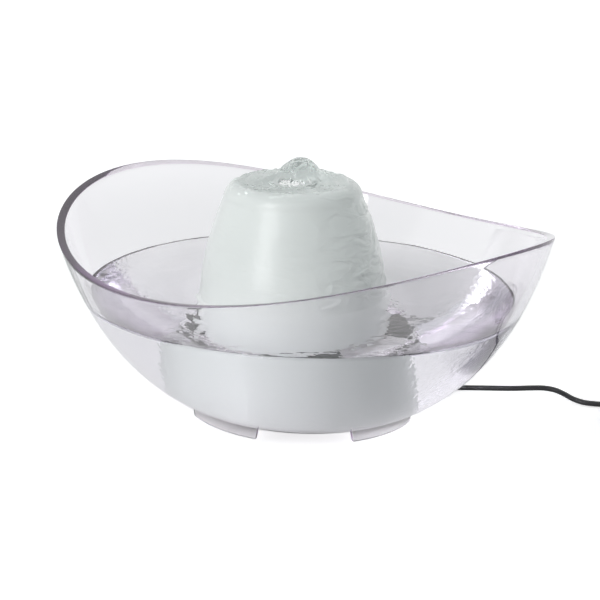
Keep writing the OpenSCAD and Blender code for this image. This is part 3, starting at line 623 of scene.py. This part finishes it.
def make_dome(material):
    """The white dome: a thin shell with a rounded shoulder and a dished top with a hole for the nozzle."""
    shoulder_z = DOME_TOP - SHOULDER_R
    edge = dome_out(shoulder_z)
    arc_x, rows, arc_step, turns = edge - SHOULDER_R, 110, 9, 360
    heights = [DECK_Z + (shoulder_z - DECK_Z) * i / rows for i in range(rows + 1)]
    outside = [(dome_out(z), z) for z in heights]
    arc = [math.radians(a) for a in range(arc_step, 91, arc_step)]
    shoulder = [(arc_x + SHOULDER_R * math.cos(a), shoulder_z + SHOULDER_R * math.sin(a)) for a in arc]
    dish = rounded([shoulder[-1], (arc_x - DOME_WALL, DOME_TOP - 1), (NOZZLE_R + 4, DISH_Z), (NOZZLE_R, DISH_Z),
                    (NOZZLE_R, DISH_Z - DOME_WALL), (arc_x - 5, DISH_Z - DOME_WALL),
                    (edge - DOME_WALL, shoulder_z - 4)], [2, 4, 0.3, 0.3, 5])
    inside = [(r - DOME_WALL, z) for r, z in outside[-6::-2]] + [(outside[0][0] - DOME_WALL, outside[0][1])]
    profile = [tuple(p) for p in (*outside, *shoulder, *dish[1:], *inside)]
    count = len(profile)
    points = []
    for i in range(turns):
        c, s = math.cos(2 * math.pi * i / turns), math.sin(2 * math.pi * i / turns)
        for k, (r, z) in enumerate(profile):
            if k <= rows:
                r += film(r * c, r * s, z)
            points.append((r * c + DOME_X, r * s + DOME_Y, z))
    faces = [(i * count + k, (i + 1) % turns * count + k, (i + 1) % turns * count + (k + 1) % count,
              i * count + (k + 1) % count) for i in range(turns) for k in range(count)]
    dome = new_object("dome_shell", points, faces, material)
    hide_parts("dome")
    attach(dome, "dome_cover")


# Water over the nozzle: how far right and towards the front each swell stands, its reach both ways and its height
SWELLS = [(5.0, 0, 13.4, 13.4, 27.0), (-15, 2, 9.0, 7.0, 2.5), (25, -2, 4.5, 9.0, 3.2),
          (-20, 3, 6.0, 3.0, 1.5), (-2, 9, 5.0, 2.6, 3.0), (9, 11, 5.0, 2.4, 2.0), (-6, 18, 9.0, 2.2, 1.2)]


def welling(x, y):
    """Height of the welling water above the dome's top at a point from the dome's axis."""
    right, front = rightwards(x, y), frontwards(x, y)
    bell = 0
    for at_r, at_f, wide, deep, high in SWELLS:
        bell += high * math.exp(-(((right - at_r) / wide) ** 2 + ((front - at_f) / deep) ** 2) ** 1.45)
    r = math.hypot(x, y)
    bent, small = patches(8, 3.1, x, y), patches(3.4, 7.7, x, y)
    crests = 1 - 2 * abs(math.sin(r / 3.1 + 5 * bent)) ** 0.7
    # the top is pressed down to a low crown
    bell -= 0.62 * max(0, bell - 10)
    return bell + (1.4 * bent + 0.6 * small) * eased(bell / 6 + 0.5) + 0.85 * crests * eased((r - 5) / 8)


def make_mound(material):
    """Water that wells up over the nozzle and fills the dish to the dome's shoulder."""
    edge = dome_out(DOME_TOP - SHOULDER_R)
    flat_r, film_r, skin = edge - SHOULDER_R, edge - 0.9, 0.3
    turns, rows = 240, 120
    columns = []
    for i in range(turns):
        a = 2 * math.pi * i / turns
        c, s = math.cos(a), math.sin(a)
        over = lambda r: DOME_TOP - SHOULDER_R + math.sqrt(max(0, SHOULDER_R ** 2 - max(0, r - flat_r) ** 2))
        bottom = rounded([(0, DISH_Z - skin), (NOZZLE_R + 4, DISH_Z - skin), (flat_r - DOME_WALL, DOME_TOP - 1.4),
                          (flat_r, DOME_TOP - skin)], [4, 2])
        column = [(r * c, r * s, z) for r, z in bottom[:-1]]
        column += [(r * c, r * s, over(r) - skin) for r in np.linspace(flat_r, film_r, 6)]
        for k in range(rows + 1):
            r = film_r * (1 - k / rows)
            x, y = r * c, r * s
            level = over(r) + 0.6 - 0.9 * eased((r - flat_r) / (film_r - flat_r))
            column.append((x, y, level + welling(x, y) * eased((film_r - r) / 5)))
        columns.append([(x + DOME_X, y + DOME_Y, z) for x, y, z in column])
    mound = new_object("welling_water", *ring_mesh(columns), material)
    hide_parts("water_mound")
    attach(mound, "dome_cover")


# ---------------------------------------------------------------- cord

def on_coil(turn, radius, z):
    """Point of the coil at an angle."""
    angle = math.radians(turn)
    return (COIL_AT[0] + radius * math.cos(angle), COIL_AT[1] + radius * math.sin(angle), z)


def cord_path():
    """Route of the whole cord: along the floor, up and down the coil's three layers, out over its top."""
    ahead, first_run = (math.cos(math.radians(GLAND_TURN)), math.sin(math.radians(GLAND_TURN))), 7
    start = [(GLAND[0] + far * ahead[0], GLAND[1] + far * ahead[1], EXIT_Z)
             for far in (RELIEF_END, RELIEF_END + first_run)]
    loose = [np.array(p, float) for p in (*start, *CORD_ROUTE, on_coil(COIL_START, COIL_R + LAYER_GAP, REST_Z))]
    path = [loose[0]]
    for i, (p, q) in enumerate(zip(loose, loose[1:])):
        before, after = loose[max(i - 1, 0)], loose[min(i + 2, len(loose) - 1)]
        straight = i in (0, len(loose) - 2)
        for t in (0.25, 0.5, 0.75, 1):
            curve = 0.5 * (2 * p + (q - before) * t + (2 * before - 5 * p + 4 * q - after) * t * t
                           + (3 * p - before - 3 * q + after) * t ** 3)
            path.append(p + (q - p) * t if straight else curve)
    path.pop()
    turn, z, step, shift_step = COIL_START, REST_Z, 6, 10
    layers = [COIL_R + LAYER_GAP, COIL_R, COIL_R - LAYER_GAP]
    around, all_turns = 360 * COIL_TURNS, 10
    last = 360 * all_turns - 2 * around - 2 * LAYER_SHIFT - (180 - COIL_START)
    for radius, sweep, climb in zip(layers, (around, around, last), (1, -1, 1)):
        steps = round(sweep / step)
        for _ in range(steps):
            path.append(on_coil(turn, radius, z))
            turn -= sweep / steps
            z += climb * TURN_GAP * sweep / 360 / steps
        if radius != layers[-1]:
            for i in range(LAYER_SHIFT // shift_step):
                path.append(on_coil(turn, radius - LAYER_GAP * i * shift_step / LAYER_SHIFT, z))
                turn -= shift_step
    # over the top and down to the adapter, with a light touch on the turns below
    top, out_r = COIL_H + CORD_D / 2 - 0.2, ADAPTER_AT[0] - COIL_AT[0]
    steps = 30
    for i in range(steps + 1):
        t = i / steps
        radius = layers[-1] + (out_r - layers[-1]) * eased(t)
        height = z + (top - z) * eased(t / 0.3) - (top - ADAPTER_MID) * eased((t - 0.5) / 0.47)
        path.append(on_coil(180 * (1 - t), radius, height))
    path.append((ADAPTER_AT[0], ADAPTER_AT[1] + ADAPTER_RELIEF, ADAPTER_MID))
    return np.array(path)


def make_tie(material, turn=250, wide=5):
    """A flat band round the coil's section that holds its turns together."""
    near, far, top = COIL_R - LAYER_GAP - CORD_D / 2, COIL_R + LAYER_GAP + CORD_D / 2, COIL_H + 0.1
    away = np.array((math.cos(math.radians(turn)), math.sin(math.radians(turn)), 0))
    along = np.array((-away[1], away[0], 0))
    centre = np.array((*COIL_AT, 0))
    corner, points, steps = 2.0, [], 6
    # the inside of the band, then its outside, each with the height of its lower edge
    for out, low in ((0.0, 0.25), (0.7, 0.0)):
        box = [(far + out, top + out), (near - out, top + out), (near - out, low), (far + out, low)]
        ring = []
        for i, (r, z) in enumerate(box):
            middle_r = r - math.copysign(corner, r - COIL_R)
            middle_z = z - math.copysign(corner, z - COIL_H / 2)
            turns = [math.radians(90 * (i + k / steps)) for k in range(steps + 1)]
            ring += [(middle_r + corner * math.cos(t), middle_z + corner * math.sin(t)) for t in turns]
        for side in (-wide / 2, wide / 2):
            points += [centre + away * r + along * side + np.array((0, 0, z)) for r, z in ring]
    # four rings of points: inside left and right, outside left and right
    count = len(points) // 4
    faces = []
    for i in range(count):
        j = (i + 1) % count
        for a, b in ((0, 1), (1, 3), (3, 2), (2, 0)):
            faces.append((a * count + i, a * count + j, b * count + j, b * count + i))
    tie = new_object("coil_tie", points, faces, material)
    tie.data.shade_flat()
    face_outwards(tie.data)
    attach(tie, MAIN)
    return tie


def make_cord(material, tie):
    """The black cord at its whole length."""
    path = cord_path() * MM
    curve = bpy.data.curves.new("power_cord", "CURVE")
    curve.dimensions, curve.bevel_depth, curve.bevel_resolution = "3D", CORD_D / 2 * MM, 5
    curve.use_fill_caps = True
    spline = curve.splines.new("POLY")
    spline.points.add(len(path) - 1)
    spline.points.foreach_set("co", np.c_[path, np.ones(len(path))].ravel())
    spline.use_smooth = True
    curve.materials.append(material)
    cord = bpy.data.objects.new("power_cord", curve)
    bpy.context.scene.collection.objects.link(cord)
    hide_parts("cord", "cord_coil", "cord_tail")
    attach(cord, MAIN)
    length = float(np.linalg.norm(np.diff(path, axis=0), axis=1).sum())
    print("cord length", round(length, 4))


# ---------------------------------------------------------------- repeated details

def geometry_tree(name, inputs):
    """A geometry node tree with named inputs, its input node and its output node."""
    tree = bpy.data.node_groups.new(name, "GeometryNodeTree")
    for label, kind, value in (*inputs, ("Material", "NodeSocketMaterial", None)):
        socket = tree.interface.new_socket(label, in_out="INPUT", socket_type=kind)
        if value is not None:
            socket.default_value = value
    tree.interface.new_socket("Geometry", in_out="OUTPUT", socket_type="NodeSocketGeometry")
    return tree, tree.nodes.new("NodeGroupInput"), tree.nodes.new("NodeGroupOutput")


def close_tree(tree, given, out, grown):
    """Ends a tree: real geometry with its material."""
    real = node(tree, "GeometryNodeRealizeInstances", {0: grown})
    painted = node(tree, "GeometryNodeSetMaterial", {"Geometry": real.outputs[0],
                                                     "Material": given.outputs["Material"]})
    tree.links.new(painted.outputs[0], out.inputs["Geometry"])


def ribs_tree():
    """Rings along Z that shrink from the first to the last."""
    number = "NodeSocketFloat"
    tree, given, out = geometry_tree("relief_ribs", [
        ("Count", "NodeSocketInt", 7), ("Gap", number, 0.003), ("First Radius", number, 0.003),
        ("Last Share", number, 0.7), ("Thickness", number, 0.0005)])
    step = node(tree, "ShaderNodeCombineXYZ", {"Z": given.outputs["Gap"]})
    line = node(tree, "GeometryNodeMeshLine", {"Count": given.outputs["Count"], "Offset": step.outputs[0]})
    ring = node(tree, "GeometryNodeCurvePrimitiveCircle", {"Resolution": 40, "Radius": given.outputs["First Radius"]})
    edge = node(tree, "GeometryNodeCurvePrimitiveCircle", {"Resolution": 10, "Radius": given.outputs["Thickness"]})
    rib = node(tree, "GeometryNodeCurveToMesh", {"Curve": ring.outputs[0], "Profile Curve": edge.outputs[0]})
    index = node(tree, "GeometryNodeInputIndex")
    last = node(tree, "ShaderNodeMath", {0: given.outputs["Count"], 1: 1.0}, operation="SUBTRACT")
    share = node(tree, "ShaderNodeMapRange", {"Value": index.outputs[0], "From Max": last.outputs[0], "To Min": 1.0,
                                              "To Max": given.outputs["Last Share"]})
    placed = node(tree, "GeometryNodeInstanceOnPoints", {"Points": line.outputs[0], "Instance": rib.outputs[0],
                                                         "Scale": share.outputs[0]})
    close_tree(tree, given, out, placed.outputs[0])
    return tree


def bars_tree():
    """Rounded upright bars in a row along Y."""
    number = "NodeSocketFloat"
    tree, given, out = geometry_tree("grip_bars", [
        ("Count", "NodeSocketInt", 6), ("Gap", number, 0.0025), ("Proud", number, 0.0005),
        ("Width", number, 0.0012), ("Height", number, 0.012)])
    step = node(tree, "ShaderNodeCombineXYZ", {"Y": given.outputs["Gap"]})
    line = node(tree, "GeometryNodeMeshLine", {"Count": given.outputs["Count"], "Offset": step.outputs[0]})
    deep = node(tree, "ShaderNodeMath", {0: given.outputs["Proud"], 1: 2.0}, operation="MULTIPLY")
    size = node(tree, "ShaderNodeCombineXYZ", {"X": deep.outputs[0], "Y": given.outputs["Width"],
                                               "Z": given.outputs["Height"]})
    block = node(tree, "GeometryNodeMeshCube", {"Size": size.outputs[0], "Vertices X": 3, "Vertices Y": 3,
                                                "Vertices Z": 14})
    bar = node(tree, "GeometryNodeSubdivisionSurface", {"Mesh": block.outputs[0], "Level": 1})
    placed = node(tree, "GeometryNodeInstanceOnPoints", {"Points": line.outputs[0], "Instance": bar.outputs[0]})
    close_tree(tree, given, out, placed.outputs[0])
    return tree


def granules_tree():
    """Small broken grains spread over a flat ring."""
    number = "NodeSocketFloat"
    tree, given, out = geometry_tree("granule_bed", [
        ("Inner Radius", number, 0.015), ("Outer Radius", number, 0.039), ("Rows", "NodeSocketInt", 52),
        ("Grain", number, 0.0008), ("Seed", "NodeSocketInt", 4)])
    across = node(tree, "ShaderNodeMath", {0: given.outputs["Outer Radius"], 1: 2.0}, operation="MULTIPLY")
    grid = node(tree, "GeometryNodeMeshGrid", {"Size X": across.outputs[0], "Size Y": across.outputs[0],
                                               "Vertices X": given.outputs["Rows"],
                                               "Vertices Y": given.outputs["Rows"]})
    # each grain strays from its place in the grid by up to this far
    stray = node(tree, "ShaderNodeMath", {0: given.outputs["Grain"], 1: 0.7}, operation="MULTIPLY")
    least = node(tree, "ShaderNodeMath", {0: stray.outputs[0], 1: -1.0}, operation="MULTIPLY")
    shift = node(tree, "FunctionNodeRandomValue", {"Seed": given.outputs["Seed"]}, data_type="FLOAT_VECTOR")
    flat_low = node(tree, "ShaderNodeCombineXYZ", {"X": least.outputs[0], "Y": least.outputs[0]})
    flat_high = node(tree, "ShaderNodeCombineXYZ", {"X": stray.outputs[0], "Y": stray.outputs[0]})
    tree.links.new(flat_low.outputs[0], shift.inputs[0])
    tree.links.new(flat_high.outputs[0], shift.inputs[1])
    strewn = node(tree, "GeometryNodeSetPosition", {"Geometry": grid.outputs[0], "Offset": shift.outputs[0]})
    place = node(tree, "GeometryNodeInputPosition")
    away = node(tree, "ShaderNodeVectorMath", {0: place.outputs[0]}, operation="LENGTH")
    # grains inside the small radius or outside the large one are left out
    inside = node(tree, "ShaderNodeMath", {0: away.outputs["Value"], 1: given.outputs["Inner Radius"]},
                  operation="LESS_THAN")
    outside = node(tree, "ShaderNodeMath", {0: away.outputs["Value"], 1: given.outputs["Outer Radius"]},
                   operation="GREATER_THAN")
    off = node(tree, "ShaderNodeMath", {0: inside.outputs[0], 1: outside.outputs[0]}, operation="MAXIMUM")
    kept = node(tree, "GeometryNodeDeleteGeometry", {"Geometry": strewn.outputs[0], "Selection": off.outputs[0]})
    grain = node(tree, "GeometryNodeMeshIcoSphere", {"Radius": given.outputs["Grain"], "Subdivisions": 1})
    turn = node(tree, "FunctionNodeRandomValue", {0: (0, 0, 0), 1: (6.2, 6.2, 6.2), "Seed": given.outputs["Seed"]},
                data_type="FLOAT_VECTOR")
    size = node(tree, "FunctionNodeRandomValue", {0: (0.6, 0.5, 0.4), 1: (1, 1, 0.75), "Seed": given.outputs["Seed"]},
                data_type="FLOAT_VECTOR")
    placed = node(tree, "GeometryNodeInstanceOnPoints", {
        "Points": kept.outputs[0], "Instance": grain.outputs[0], "Rotation": turn.outputs[0],
        "Scale": size.outputs[0]})
    close_tree(tree, given, out, placed.outputs[0])
    return tree


def face_outwards(mesh):
    """Turns a closed mesh the right way round when its volume comes out negative."""
    mesh.calc_loop_triangles()
    points = np.empty(len(mesh.vertices) * 3)
    mesh.vertices.foreach_get("co", points)
    corners = np.empty(len(mesh.loop_triangles) * 3, int)
    mesh.loop_triangles.foreach_get("vertices", corners)
    a, b, c = points.reshape(-1, 3)[corners.reshape(-1, 3)].transpose(1, 0, 2)
    if np.einsum("ij,ij->i", a, np.cross(b, c)).sum() < 0:
        mesh.flip_normals()


def grow(name, tree, values, place, material, body, smooth=True):
    """Bakes a tree with its values to a plain mesh, sets it in place and lets it ride on a body."""
    holder = bpy.data.objects.new(name, bpy.data.meshes.new(name + "_seed"))
    bpy.context.scene.collection.objects.link(holder)
    modifier = holder.modifiers.new("grow", "NODES")
    modifier.node_group = tree
    for item in tree.interface.items_tree:
        if item.name == "Material":
            modifier[item.identifier] = material
        elif item.in_out == "INPUT":
            modifier[item.identifier] = values.get(item.name, item.default_value)
    ready = holder.evaluated_get(bpy.context.evaluated_depsgraph_get())
    mesh = bpy.data.meshes.new_from_object(ready)
    holder.modifiers.remove(modifier)
    mesh.transform(place)
    face_outwards(mesh)
    if smooth:
        mesh.shade_smooth()
    else:
        mesh.shade_flat()
    holder.data = mesh
    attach(holder, body)


def make_details(finishes):
    """Ribs on the strain reliefs, grip bars on the adapter and granules under the filter's slots."""
    ribs, bars, bed = ribs_tree(), bars_tree(), granules_tree()
    ahead = math.radians(GLAND_TURN)
    start = Vector((GLAND[0] + EXIT_RIBS_FROM * math.cos(ahead), GLAND[1] + EXIT_RIBS_FROM * math.sin(ahead),
                    EXIT_Z)) * MM
    along = Vector((math.cos(ahead), math.sin(ahead), 0)).to_track_quat("Z", "Y").to_matrix().to_4x4()
    grow("exit_relief_ribs", ribs, {"Count": 7, "Gap": 0.0028, "First Radius": 0.0031, "Last Share": 0.8,
                                    "Thickness": 0.00055},
         Matrix.Translation(start) @ along, finishes["black_rubber"], MAIN)
    start = Vector((ADAPTER_AT[0], ADAPTER_AT[1] + ADAPTER_RIBS_FROM, ADAPTER_MID)) * MM
    along = Vector((0, 1, 0)).to_track_quat("Z", "Y").to_matrix().to_4x4()
    grow("adapter_relief_ribs", ribs, {"Count": 6, "Gap": 0.0026, "First Radius": 0.0037, "Last Share": 0.72,
                                       "Thickness": 0.0006},
         Matrix.Translation(start) @ along, finishes["black_rubber"], MAIN)
    for side, name in ((-1, "left"), (1, "right")):
        start = Vector((ADAPTER_AT[0] + side * GRIP_OUT, ADAPTER_AT[1] - GRIP_BACK, ADAPTER_MID)) * MM
        grow("adapter_grip_" + name, bars, {"Count": 6, "Gap": 0.0024, "Proud": 0.0006, "Width": 0.0014,
                                            "Height": 0.015},
             Matrix.Translation(start), finishes["adapter_plastic"], MAIN)
    grow("carbon_grains", bed, {}, Matrix.Translation(Vector((DOME_X, DOME_Y, GRAINS_Z)) * MM), finishes["carbon"],
         CARTRIDGE, smooth=False)


# ---------------------------------------------------------------- all pieces

def dress_nodes(finishes):
    """Gives every node of the model the finish of its material slot."""
    for part in frame["record"]["subparts"]:
        mesh = frame["nodes"][part["node"]].data
        mesh.materials.clear()
        mesh.materials.append(finishes[part["material_slot"]])


make_studio()
finishes = make_materials()
dress_nodes(finishes)
make_cord(finishes["cord_jacket"], make_tie(finishes["black_rubber"]))
make_bowl(finishes["clear_bowl"])
make_pool(finishes["pool"])
make_dome(finishes["dome_white"])
make_mound(finishes["water"])
make_details(finishes)
